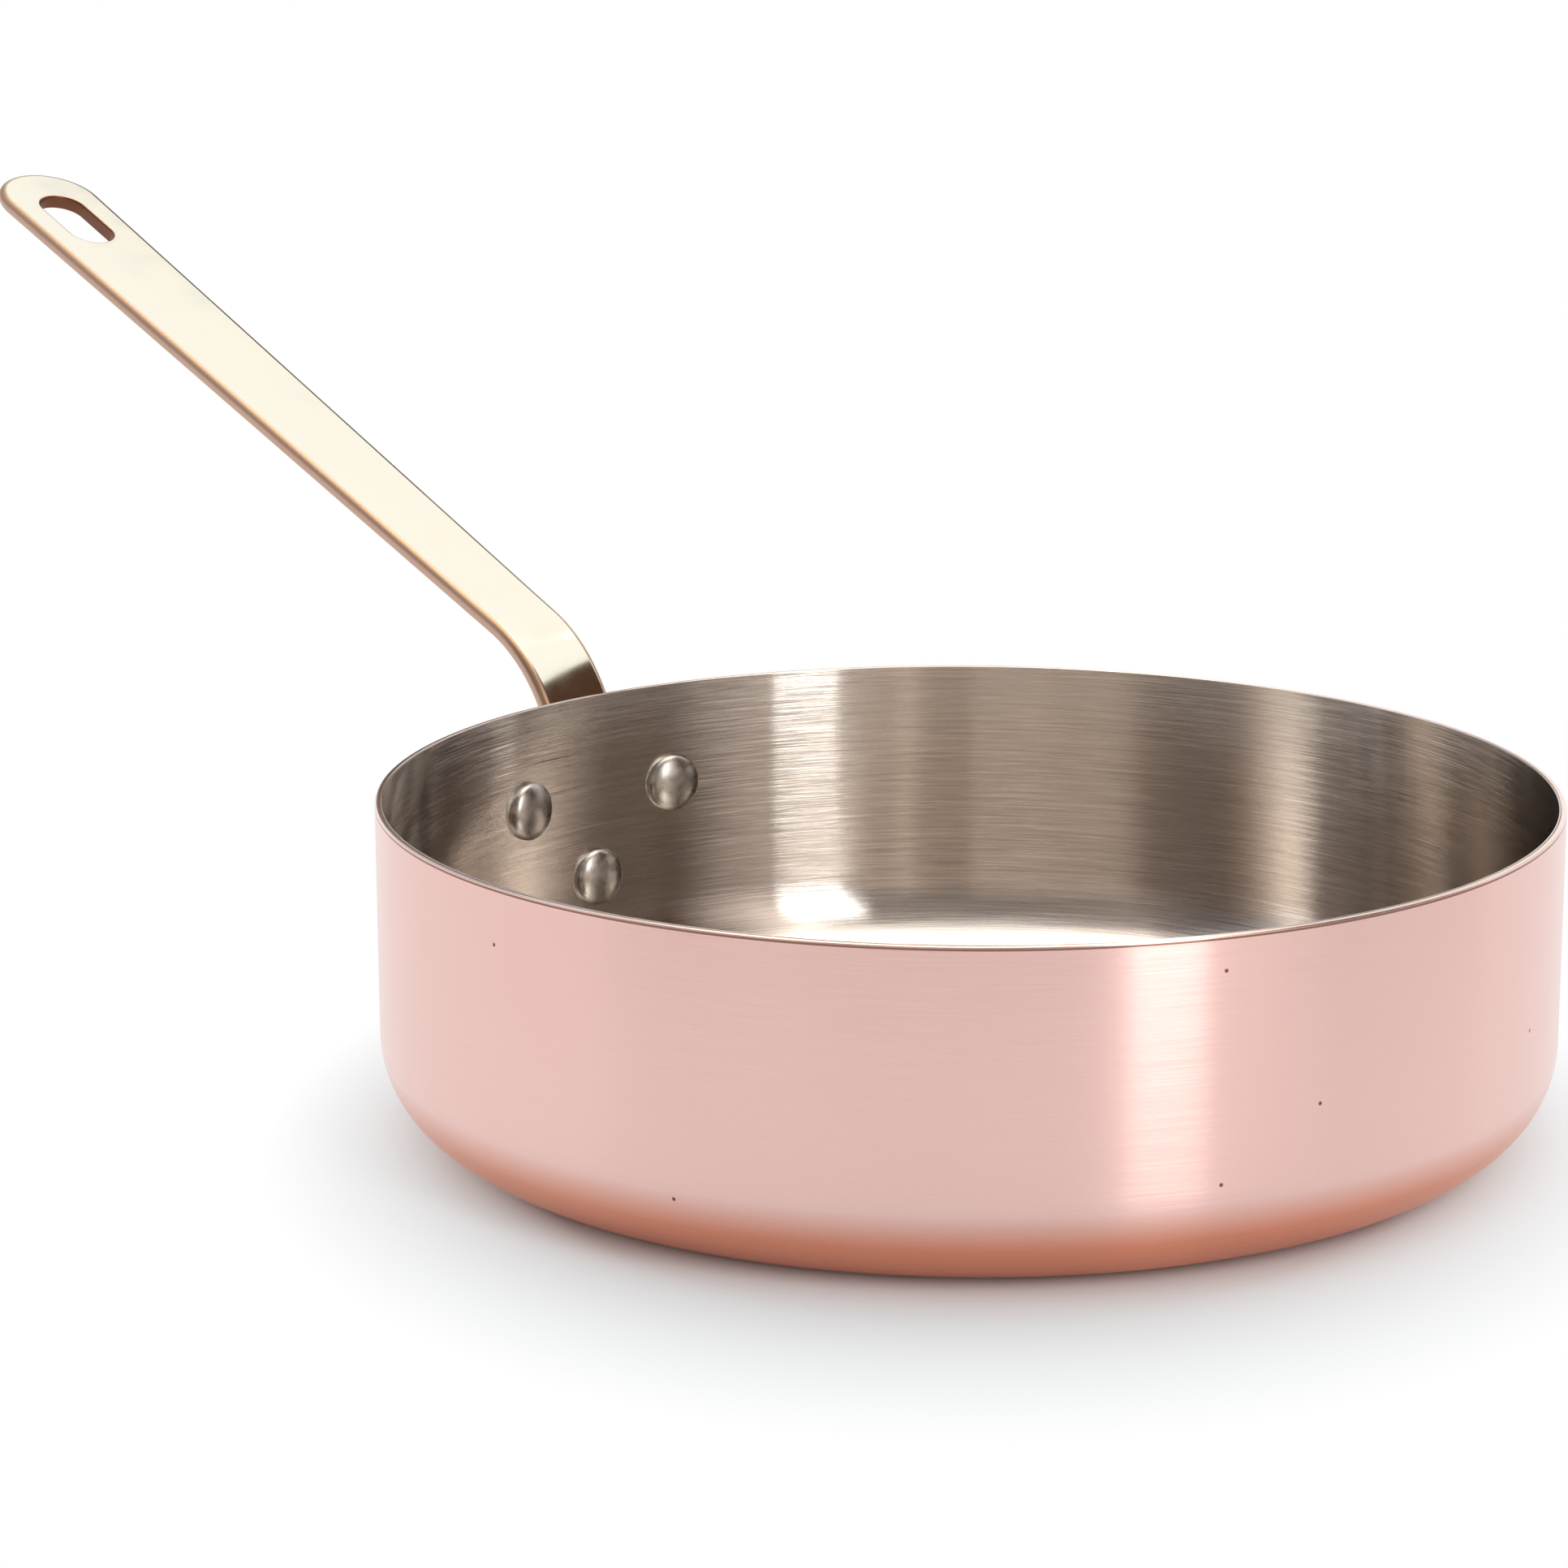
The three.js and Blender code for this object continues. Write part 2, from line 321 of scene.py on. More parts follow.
def object_axes(tree):
    place = add_node(tree, "ShaderNodeTexCoord").outputs["Object"]
    axes = add_node(tree, "ShaderNodeSeparateXYZ", {0: place})
    return place, axes.outputs["X"], axes.outputs["Y"], axes.outputs["Z"]


def turned_lines(tree, line_length, line_width):
    """Noise drawn out into fine lines that run round the bowl's axis."""
    place, x, y, z = object_axes(tree)
    flat = vector_math(tree, "MULTIPLY", {0: place, 1: (1.0, 1.0, 0.0)})
    radius = vector_math(tree, "LENGTH", {0: flat}, "Value")
    lines = add_node(tree, "ShaderNodeCombineXYZ", {
        "X": add_math(tree, "DIVIDE", x, line_length),
        "Y": add_math(tree, "DIVIDE", y, line_length),
        "Z": add_math(tree, "DIVIDE", add_math(tree, "ADD", radius, z), line_width),
    })
    return add_node(tree, "ShaderNodeTexNoise", {
        "Vector": lines.outputs[0], "Scale": 1.0, "Detail": LINE_DETAIL, "Roughness": LINE_ROUGHNESS,
    }).outputs["Fac"]


def turned_direction(tree):
    """The direction round the bowl's axis, which the brush lines run in."""
    place, x, y, z = object_axes(tree)
    back = add_math(tree, "MULTIPLY", y, -1.0)
    run = add_node(tree, "ShaderNodeCombineXYZ", {"X": back, "Y": x, "Z": 0.0})
    return vector_math(tree, "NORMALIZE", {0: run.outputs[0]})


def map_range(tree, value, low, high, new_low, new_high):
    return add_node(tree, "ShaderNodeMapRange", {
        "Value": value, "From Min": low, "From Max": high, "To Min": new_low, "To Max": new_high,
    }).outputs[0]


def mix_colours(tree, share, first, second):
    node = add_node(tree, "ShaderNodeMix", data_type="RGBA")
    for name, plug in (("Factor", share), ("A", first), ("B", second)):
        socket = [s for s in node.inputs if s.name == name and s.enabled][0]
        if isinstance(plug, bpy.types.NodeSocket):
            tree.links.new(plug, socket)
        else:
            socket.default_value = plug if name == "Factor" else (*plug, 1.0)
    return [s for s in node.outputs if s.enabled][0]


def spread(tree, noise, low=0.0, high=1.0):
    """A noise, whose values lie round the middle, spread over a range."""
    return map_range(tree, noise, NOISE_LOW, NOISE_HIGH, low, high)


def wear_noise(tree, place, scale, detail):
    return add_node(tree, "ShaderNodeTexNoise", {
        "Vector": place, "Scale": scale, "Detail": detail,
    }).outputs["Fac"]


def leaning_normal(tree, tangent, lean, level_lean):
    """The surface's normal, leaning to and fro with very fine lines, by another amount on level metal."""
    straight = add_node(tree, "ShaderNodeNewGeometry").outputs["Normal"]
    across = vector_math(tree, "CROSS_PRODUCT", {0: straight, 1: tangent})
    height = add_node(tree, "ShaderNodeSeparateXYZ", {0: straight}).outputs["Z"]
    upward = add_math(tree, "ABSOLUTE", height)
    amount = map_range(tree, upward, LEVEL_START, LEVEL_END, lean, level_lean)
    fine = map_range(tree, turned_lines(tree, FINE_LENGTH, FINE_WIDTH), 0.0, 1.0, -1.0, 1.0)
    offset = vector_math(tree, "SCALE", {0: across, "Scale": add_math(tree, "MULTIPLY", fine, amount)})
    return vector_math(tree, "NORMALIZE", {0: vector_math(tree, "ADD", {0: straight, 1: offset})})


def brush_shader(tree, shader, grain, smooth, rough, lean, level_lean):
    """Roughness follows the brush lines, and the glow smears across them."""
    tangent = turned_direction(tree)
    tree.links.new(spread(tree, grain, smooth, rough), shader.inputs["Roughness"])
    tree.links.new(tangent, shader.inputs["Tangent"])
    tree.links.new(leaning_normal(tree, tangent, lean, level_lean), shader.inputs["Normal"])
    shader.inputs["Anisotropic"].default_value = 1.0
    shader.inputs["Anisotropic Rotation"].default_value = ACROSS_THE_LINES


def copper_specks(tree, x, y, height):
    """Sparse dark specks on the wall, laid out round the bowl."""
    turn = add_math(tree, "MULTIPLY", add_math(tree, "ARCTAN2", y, x), BOWL_RADIUS)
    wall = add_node(tree, "ShaderNodeCombineXYZ", {"X": turn, "Y": height, "Z": 0.0}).outputs[0]
    pits = add_node(tree, "ShaderNodeTexVoronoi", {
        "Vector": wall, "Scale": SPECK_SCALE,
    }, voronoi_dimensions="2D")
    chosen = add_node(tree, "ShaderNodeSeparateColor", {0: pits.outputs["Color"]}).outputs[0]
    small = map_range(tree, pits.outputs["Distance"], SPECK_CORE, SPECK_EDGE, 1.0, 0.0)
    return add_math(tree, "MULTIPLY", small, add_math(tree, "GREATER_THAN", chosen, SPECK_RARITY))


def copper_rim(tree, height, tone):
    """The tone with a painted shade line under the rim and a painted highlight on the pale lip above it.
    """
    # Painted shade: the dark line under the rim; painted highlight: the pale lip above it
    under = map_range(tree, height, RIM_LINE_LOW, RIM_LINE_LOW + RIM_LINE_SOFT, 0.0, 1.0)
    over = map_range(tree, height, RIM_LINE_TOP - RIM_LINE_SOFT, RIM_LINE_TOP, 1.0, 0.0)
    lined = mix_colours(tree, add_math(tree, "MULTIPLY", under, over), tone, RIM_SHADE_TONE)
    lip = map_range(tree, height, RIM_LINE_TOP, RIM_LINE_TOP + RIM_LINE_SOFT, 0.0, 1.0)
    return mix_colours(tree, lip, lined, LIP_HIGHLIGHT_TONE)


def copper_finish():
    """Satin copper, with painted shade at the foot, a painted shade line and painted highlight at the
    rim, and a few specks.
    """
    material, tree, shader = new_metal("satin_copper", COPPER_TONE, COPPER_ROUGHNESS)
    grain = turned_lines(tree, COPPER_LINE_LENGTH, COPPER_LINE_WIDTH)
    place, x, y, height = object_axes(tree)
    brush_shader(tree, shader, grain, COPPER_SMOOTH, COPPER_ROUGH, COPPER_LEAN, COPPER_LEAN)
    lined = mix_colours(tree, spread(tree, grain), COPPER_DARK, COPPER_PALE)
    cloud = wear_noise(tree, place, CLOUD_SCALE, CLOUD_DETAIL)
    clouded = map_range(tree, cloud, CLOUD_LOW, CLOUD_HIGH, 0.0, CLOUD_SHARE)
    toned = mix_colours(tree, clouded, lined, CLOUD_TONE)
    # Painted shade towards the foot, where the wall mirrors the floor's shadow
    foot = map_range(tree, height, FOOT_SHADE_TOP, FOOT_SHADE_LOW, 0.0, 1.0)
    foot_shaded = mix_colours(tree, foot, toned, FOOT_SHADE_TONE)
    # Painted shade line under the rim and painted highlight on its lip
    rimmed = copper_rim(tree, height, foot_shaded)
    pitted = mix_colours(tree, copper_specks(tree, x, y, height), rimmed, SPECK_TONE)
    tree.links.new(pitted, shader.inputs["Base Color"])
    return material


def lining_finish():
    """Steel with brush lines round the bowl."""
    material, tree, shader = new_metal("brushed_lining", LINING_TONE, LINING_ROUGHNESS)
    grain = turned_lines(tree, LINING_LINE_LENGTH, LINING_LINE_WIDTH)
    brush_shader(tree, shader, grain, LINING_SMOOTH, LINING_ROUGH, LINING_LEAN, LINING_FLOOR_LEAN)
    lined = mix_colours(tree, spread(tree, grain), LINING_DARK, LINING_PALE)
    tree.links.new(lined, shader.inputs["Base Color"])
    return material


def brass_finish():
    """Polished faces with painted shade: brown over the rounded edge, tan on the side and dark in the
    slot.
    """
    material, tree, shader = new_metal("polished_brass", BRASS_TONE, BRASS_ROUGHNESS)
    wear = wear_noise(tree, object_axes(tree)[0], BRASS_WEAR_SCALE, WEAR_DETAIL)
    edge = add_node(tree, "ShaderNodeAttribute", attribute_name="cut_edge").outputs["Fac"]
    slot = add_node(tree, "ShaderNodeAttribute", attribute_name="slot_edge").outputs["Fac"]
    rounding = map_range(tree, edge, 0.0, ROUNDING_END, 0.0, 1.0)
    side = map_range(tree, edge, SIDE_START, SIDE_END, 0.0, 1.0)
    in_slot = map_range(tree, slot, SLOT_START, SLOT_END, 0.0, 1.0)
    face_rough = spread(tree, wear, BRASS_SMOOTH, BRASS_ROUGH)
    rough = add_math(tree, "ADD", face_rough, add_math(tree, "MULTIPLY", rounding, ROUNDING_ROUGH))
    tree.links.new(rough, shader.inputs["Roughness"])
    face = mix_colours(tree, spread(tree, wear), BRASS_WORN, BRASS_BRIGHT)
    # Painted shade: brown over the rounded edge, tan on the side and dark in the slot
    rounded = mix_colours(tree, rounding, face, ROUNDING_SHADE_TONE)
    side_shaded = mix_colours(tree, side, rounded, SIDE_SHADE_TONE)
    slot_shaded = mix_colours(tree, in_slot, side_shaded, SLOT_SHADE_TONE)
    tree.links.new(slot_shaded, shader.inputs["Base Color"])
    return material


def rivet_finish():
    """Satin steel with fine wear."""
    material, tree, shader = new_metal("rivet_satin", RIVET_TONE, RIVET_ROUGHNESS)
    wear = wear_noise(tree, object_axes(tree)[0], RIVET_WEAR_SCALE, WEAR_DETAIL)
    tree.links.new(spread(tree, wear, RIVET_SMOOTH, RIVET_ROUGH), shader.inputs["Roughness"])
    toned = mix_colours(tree, spread(tree, wear), RIVET_DARK, RIVET_PALE)
    tree.links.new(toned, shader.inputs["Base Color"])
    return material


# Turned pieces, by geometry nodes


def new_tree(name, inputs):
    tree = bpy.data.node_groups.new(name, "GeometryNodeTree")
    for label, kind in inputs:
        tree.interface.new_socket(label, in_out="INPUT", socket_type=kind)
    tree.interface.new_socket("Geometry", in_out="OUTPUT", socket_type="NodeSocketGeometry")
    return tree, tree.nodes.new("NodeGroupInput").outputs


def turn_section(tree, section, inputs):
    """A half section, an edge line with a fillet on each point, turned round the Z axis."""
    line = add_node(tree, "GeometryNodeMeshToCurve", {"Mesh": section})
    fillet = add_node(tree, "GeometryNodeInputNamedAttribute", {"Name": "fillet"}, data_type="FLOAT")
    rounded = add_node(tree, "GeometryNodeFilletCurve", {
        "Curve": line.outputs[0], "Radius": fillet.outputs[0], "Count": inputs["Fillet Steps"],
    }, mode="POLY")
    ring = add_node(tree, "GeometryNodeCurvePrimitiveCircle", {
        "Resolution": inputs["Segments"], "Radius": inputs["Ring Radius"],
    }, mode="RADIUS")
    swept = add_node(tree, "GeometryNodeCurveToMesh", {
        "Curve": ring.outputs["Curve"], "Profile Curve": rounded.outputs[0],
    })
    return add_node(tree, "GeometryNodeMergeByDistance", {"Geometry": swept.outputs[0], "Distance": WELD})


def finish_tree(tree, geometry, inputs):
    plain = add_node(tree, "GeometryNodeRealizeInstances", {"Geometry": geometry})
    coated = add_node(tree, "GeometryNodeSetMaterial", {
        "Geometry": plain.outputs[0], "Material": inputs["Finish"],
    })
    add_node(tree, "NodeGroupOutput", {"Geometry": coated.outputs[0]})


def turned_tree():
    tree, inputs = new_tree("turned_shell", (
        ("Section", "NodeSocketGeometry"),
        ("Ring Radius", "NodeSocketFloat"),
        ("Segments", "NodeSocketInt"),
        ("Fillet Steps", "NodeSocketInt"),
        ("Finish", "NodeSocketMaterial"),
    ))
    turned = turn_section(tree, inputs["Section"], inputs)
    finish_tree(tree, turned.outputs[0], inputs)
    return tree


def rivets_tree():
    """One turned rivet on each point, turned to face out from the bowl's axis."""
    tree, inputs = new_tree("rivet_set", (
        ("Places", "NodeSocketGeometry"),
        ("Section Object", "NodeSocketObject"),
        ("Ring Radius", "NodeSocketFloat"),
        ("Segments", "NodeSocketInt"),
        ("Fillet Steps", "NodeSocketInt"),
        ("Finish", "NodeSocketMaterial"),
    ))
    section = add_node(tree, "GeometryNodeObjectInfo", {"Object": inputs["Section Object"]})
    rivet = turn_section(tree, section.outputs["Geometry"], inputs)
    turn = add_node(tree, "GeometryNodeInputNamedAttribute", {"Name": "turn"}, data_type="FLOAT")
    facing = add_node(tree, "ShaderNodeCombineXYZ", {"X": 0.0, "Y": math.pi / 2, "Z": turn.outputs[0]})
    placed = add_node(tree, "GeometryNodeInstanceOnPoints", {
        "Points": inputs["Places"], "Instance": rivet.outputs[0], "Rotation": facing.outputs[0],
    })
    finish_tree(tree, placed.outputs[0], inputs)
    return tree


def section_mesh(name, ring_radius, points):
    """A half section of (radius, height, fillet) points, laid out for a sweep round a ring."""
    mesh = bpy.data.meshes.new(name)
    corners = [(radius - ring_radius, -height, 0.0) for radius, height, _ in points]
    mesh.from_pydata(corners, [(i, i + 1) for i in range(len(points) - 1)], [])
    add_point_values(mesh, "fillet", [fillet for _, _, fillet in points])
    return mesh


def grow(name, base, tree, values):
    """The plain mesh that a node tree makes from a base mesh, as a piece."""
    piece = new_object(name, base)
    modifier = piece.modifiers.new("shape", "NODES")
    modifier.node_group = tree
    for item in tree.interface.items_tree:
        if item.name in values:
            modifier[item.identifier] = values[item.name]
    grown = piece.evaluated_get(bpy.context.evaluated_depsgraph_get())
    mesh = bpy.data.meshes.new_from_object(grown)
    piece.modifiers.remove(modifier)
    piece.data = mesh
    face_outward(mesh)
    mesh.shade_smooth()
    mesh.set_sharp_from_angle(angle=SHARP_ANGLE)
    return piece


def face_outward(mesh):
    work = bmesh.new()
    work.from_mesh(mesh)
    bmesh.ops.recalc_face_normals(work, faces=work.faces)
    work.to_mesh(mesh)
    work.free()


def bowl_section(depth, wall, rim_round):
    """Half section of one layer of the bowl, from its underside out and back to its floor."""
    outer = BOWL_RADIUS - depth
    inner = outer - wall
    return [
        (0.0, depth, 0.0),
        (outer, depth, CORNER_RADIUS - depth),
        (outer, BOWL_HEIGHT, rim_round),
        (inner, BOWL_HEIGHT, rim_round),
        (inner, depth + wall, CORNER_RADIUS - depth - wall),
        (0.0, depth + wall, 0.0),
    ]


def bowl_layer(name, tree, depth, wall, rim_round, finish):
    section = section_mesh(name + "_section", BOWL_RADIUS, bowl_section(depth, wall, rim_round))
    return grow(name, section, tree, {
        "Ring Radius": BOWL_RADIUS, "Segments": BOWL_SEGMENTS,
        "Fillet Steps": CORNER_STEPS, "Finish": finish,
    })


def dome(centre, radius, height, start, end):
    """Points of a half section along a low dome, between two angles."""
    angles = [start + (end - start) * i / DOME_STEPS for i in range(DOME_STEPS + 1)]
    return [(abs(radius * math.cos(a)), centre + height * math.sin(a), 0.0) for a in angles]


def rivet_section():
    """Half section of a rivet, its height measured out from the bowl's axis."""
    inner = BOWL_RADIUS - COPPER_WALL - BOND_LINE - LINING_WALL
    head_seat = math.sqrt(inner ** 2 - HEAD_RADIUS ** 2)
    tail_seat = SEAT_RADIUS + HANDLE_THICKNESS
    head = dome(head_seat - HEAD_LIP, HEAD_RADIUS, HEAD_DOME, -math.pi / 2, 0.0)
    tail = dome(tail_seat + TAIL_LIP, TAIL_RADIUS, TAIL_DOME, 0.0, math.pi / 2)
    return [
        *head,
        (HEAD_RADIUS, inner + RIVET_SINK, 0.0),
        (TAIL_RADIUS, tail_seat - RIVET_SINK, 0.0),
        *tail,
    ]


def rivets(finish):
    """The three rivets as one piece."""
    places = bpy.data.meshes.new("rivet_places")
    spots = (
        (upper_rivet_turn, UPPER_RIVET_Z),
        (-upper_rivet_turn, UPPER_RIVET_Z),
        (0.0, LOWER_RIVET_Z),
    )
    places.from_pydata([(0.0, 0.0, z) for _, z in spots], [], [])
    add_point_values(places, "turn", [turn for turn, _ in spots])
    section = new_object("rivet_outline", section_mesh("rivet_section", HEAD_RADIUS, rivet_section()))
    piece = grow("rivet_heads", places, rivets_tree(), {
        "Section Object": section, "Ring Radius": HEAD_RADIUS, "Segments": RIVET_SEGMENTS,
        "Fillet Steps": 1, "Finish": finish,
    })
    bpy.data.objects.remove(section)
    return piece


# Handle: a flat blank with a rounded edge, bent to the wall


def bend_frame(along):
    """The bar's upper face in the handle's plane: a point, and the way into the metal."""
    turn = min(max(along / BEND_RADIUS, 0.0), BEND_TURN)
    past = min(along, 0.0) + max(along - bend_length, 0.0)
    x = SEAT_RADIUS + BEND_RADIUS * (1.0 - math.cos(turn)) + past * math.sin(turn)
    z = BEND_START_Z + BEND_RADIUS * math.sin(turn) + past * math.cos(turn)
    return Vector((x, 0.0, z)), Vector((math.cos(turn), 0.0, -math.sin(turn)))


def bent(along, across, depth):
    """Where a point of the flat blank ends up once the handle is bent to the wall."""
    angle = across / SEAT_RADIUS
    reach = SEAT_RADIUS + depth
    point, inward = bend_frame(along)
    side = Vector((0.0, 1.0, 0.0))
    curved = point + inward * (reach * math.cos(angle) - SEAT_RADIUS) + side * (reach * math.sin(angle))
    level = point + inward * depth + side * across
    bar = curved.lerp(level, smooth_step(along, FLATTEN_START, FLATTEN_END))
    wall = Vector((reach * math.cos(angle), reach * math.sin(angle), BEND_START_Z + along))
    ear = smooth_step(abs(across), EAR_INNER, EAR_OUTER) * (1.0 - smooth_step(along, EAR_TOP, EAR_END))
    return bar.lerp(wall, ear)


def half_width(along):
    """Half the bar's width, which grows steadily along the straight run's direction."""
    lean = math.pi / 2 - BEND_TURN
    run = Vector((math.cos(lean), 0.0, math.sin(lean)))
    neck = bend_frame(0.0)[0].dot(run)
    tip = bend_frame(tip_along - TIP_WIDTH / 2)[0].dot(run)
    share = (bend_frame(along)[0].dot(run) - neck) / (tip - neck)
    return 0.5 * (NECK_WIDTH + (TIP_WIDTH - NECK_WIDTH) * share)


def arc(centre, radius, start, end, step):
    """Points along an arc, about one step apart."""
    count = max(2, round(abs(end - start) * radius / step))
    angles = [start + (end - start) * i / count for i in range(count + 1)]
    return [centre + radius * Vector((math.cos(a), math.sin(a))) for a in angles]


def one_side(step):
    """One side of the blank from the tip to the foot of the root, as (along, across) points."""
    ear = Vector((UPPER_RIVET_Z - BEND_START_Z, SEAT_RADIUS * upper_rivet_turn))
    foot = Vector((LOWER_RIVET_Z - BEND_START_Z, 0.0))
    rise = ear.y - half_width(FILLET_NEAR) - ROOT_FILLET
    fillet_along = ear.x + math.sqrt((ROOT_LOBE + ROOT_FILLET) ** 2 - rise ** 2)
    fillet = Vector((fillet_along, half_width(fillet_along) + ROOT_FILLET))
    to_ear = ear - fillet
    turn_in = math.atan2(to_ear.y, to_ear.x)
    slant = math.atan2(ear.x - foot.x, foot.y - ear.y)
    tip = Vector((tip_along - TIP_WIDTH / 2, 0.0))
    sides = [tip.x + (fillet_along - tip.x) * i / SIDE_STEPS for i in range(1, SIDE_STEPS)]
    return [
        *arc(tip, TIP_WIDTH / 2, 0.0, math.pi / 2, step),
        *[Vector((along, half_width(along))) for along in sides],
        *arc(fillet, ROOT_FILLET, 1.5 * math.pi, turn_in, step),
        *arc(ear, ROOT_LOBE, turn_in - math.pi, slant, step)[1:],
        *arc(foot, ROOT_LOBE, slant, math.pi, step),
    ]


def blank_outline(step):
    side = one_side(step)
    mirrored = [Vector((p.x, -p.y)) for p in reversed(side[1:-1])]
    return side + mirrored


def slot_outline(step):
    """The hanging slot, listed the other way round from the outline, because it bounds a hole."""
    radius = SLOT_WIDTH / 2
    outer = Vector((tip_along - SLOT_TO_TIP - radius, 0.0))
    inner = Vector((tip_along - SLOT_TO_TIP - SLOT_LENGTH + radius, 0.0))
    loop = arc(outer, radius, -math.pi / 2, math.pi / 2, step)
    loop += arc(inner, radius, math.pi / 2, 1.5 * math.pi, step)
    return loop[::-1]


def out_normals(loop):
    """The direction out of the metal at each point of a closed loop."""
    normals = []
    for i, point in enumerate(loop):
        before = (point - loop[i - 1]).normalized()
        after = (loop[(i + 1) % len(loop)] - point).normalized()
        run = (before + after).normalized()
        normals.append(Vector((run.y, -run.x)))
    return normals


def edge_profile(rounding):
    """A rounded edge from the upper face to the underside, as (inset, depth, tilt) steps."""
    tilts = [math.pi / 2 * (1 - i / EDGE_STEPS) for i in range(EDGE_STEPS + 1)]
    upper = [(rounding * (1 - math.cos(t)), rounding * (1 - math.sin(t)), t) for t in tilts]
    lower = [(inset, HANDLE_THICKNESS - depth, -tilt) for inset, depth, tilt in reversed(upper)]
    return upper + lower


def inside_points(rim, slot_start):
    """Points over the blank's faces, closer together at the root and the bend."""
    points = []
    along = -BLANK_REACH
    while along < tip_along:
        pitch = ROOT_PITCH if along < bend_length else BAR_PITCH
        across = -BLANK_REACH
        while across < BLANK_REACH:
            spot = Vector((along, across))
            if clear_of_rim(spot, rim, slot_start, RIM_MARGIN * pitch):
                points.append(spot)
            across += pitch
        along += pitch
    return points


def clear_of_rim(spot, rim, slot_start, margin):
    near = min((spot - p).length for p in rim)
    return near > margin and within(spot, rim[:slot_start]) and not within(spot, rim[slot_start:])


def within(spot, loop):
    """Whether a closed loop goes round the spot."""
    crossings = 0
    for i, end in enumerate(loop):
        start = loop[i - 1]
        if (start.y > spot.y) != (end.y > spot.y):
            cut = start.x + (end.x - start.x) * (spot.y - start.y) / (end.y - start.y)
            crossings += cut > spot.x
    return crossings % 2 == 1


def face_triangles(rim, slot_start, inside):
    """Triangles over one face of the blank, between its rim and the slot."""
    loops = (range(slot_start), range(slot_start, len(rim)))
    edges = [(loop[i - 1], loop[i]) for loop in loops for i in range(len(loop))]
    found = delaunay_2d_cdt([*rim, *inside], edges, [], 1, SAME_POINT)
    order = [sources[0] for sources in found[3]]
    faces = [[order[i] for i in face] for face in found[2]]
    on_slot = set(loops[1])
    return [face for face in faces if not on_slot.issuperset(face)]


def blank_edge(outline, slot):
    """Rings of points, with outward normals, down the rounded edges of the blank and its slot."""
    loop = outline + slot
    normals = out_normals(outline) + out_normals(slot)
    profiles = [edge_profile(EDGE_ROUND)] * len(outline) + [edge_profile(SLOT_ROUND)] * len(slot)
    points, outs = [], []
    for ring in range(EDGE_RINGS):
        for point, normal, profile in zip(loop, normals, profiles):
            inset, depth, tilt = profile[ring]
            spot = point - normal * inset
            points.append((spot.x, spot.y, depth))
            outs.append((normal.x * math.cos(tilt), normal.y * math.cos(tilt), -math.sin(tilt)))
    return points, outs


def edge_faces(slot_start, count):
    faces = []
    for ring in range(EDGE_RINGS - 1):
        for start, end in ((0, slot_start), (slot_start, count)):
            for i in range(start, end):
                j = i + 1 if i + 1 < end else start
                upper, lower = ring * count, (ring + 1) * count
                faces.append([upper + i, upper + j, lower + j, lower + i])
    return faces


def handle_blank():
    """Points, outward normals and faces of the flat blank, and which points lie in the slot."""
    outline = blank_outline(OUTLINE_STEP)
    slot = slot_outline(SLOT_STEP)
    slot_start, count = len(outline), len(outline) + len(slot)
    points, outs = blank_edge(outline, slot)
    rim = [Vector(p[:2]) for p in points[:count]]
    inside = inside_points(rim, slot_start)
    triangles = face_triangles(rim, slot_start, inside)
    faces = edge_faces(slot_start, count)
    last_ring = len(points) - count
    for depth, way, first in ((0.0, -1.0, 0), (HANDLE_THICKNESS, 1.0, last_ring)):
        index = [*range(first, first + count), *range(len(points), len(points) + len(inside))]
        points += [(p.x, p.y, depth) for p in inside]
        outs += [(0.0, 0.0, way)] * len(inside)
        faces += [[index[i] for i in face] for face in triangles]
    in_slot = ([0.0] * slot_start + [1.0] * len(slot)) * EDGE_RINGS + [0.0] * (2 * len(inside))
    return points, outs, faces, in_slot


def bent_normals(points, outs):
    """The blank's outward normals once it is bent."""
    normals = []
    for point, out in zip(points, outs):
        moved = [p + NORMAL_NUDGE * o for p, o in zip(point, out)]
        normals.append((bent(*moved) - bent(*point)).normalized())
    return normals


def handle(finish):
    """The bent bar, which carries how far each point is round the edge and round the slot's edge."""
    points, outs, faces, in_slot = handle_blank()
    mesh = bpy.data.meshes.new("handle_bar")
    mesh.from_pydata([bent(*p) for p in points], [], faces)
    face_outward(mesh)
    mesh.shade_smooth()
    mesh.normals_split_custom_set_from_vertices(bent_normals(points, outs))
    shares = [math.hypot(out[0], out[1]) for out in outs]
    add_point_values(mesh, "cut_edge", shares)
    add_point_values(mesh, "slot_edge", [share * inside for share, inside in zip(shares, in_slot)])
    mesh.materials.append(finish)
    return new_object("handle_bar", mesh)


# Stage: floor, lights and camera


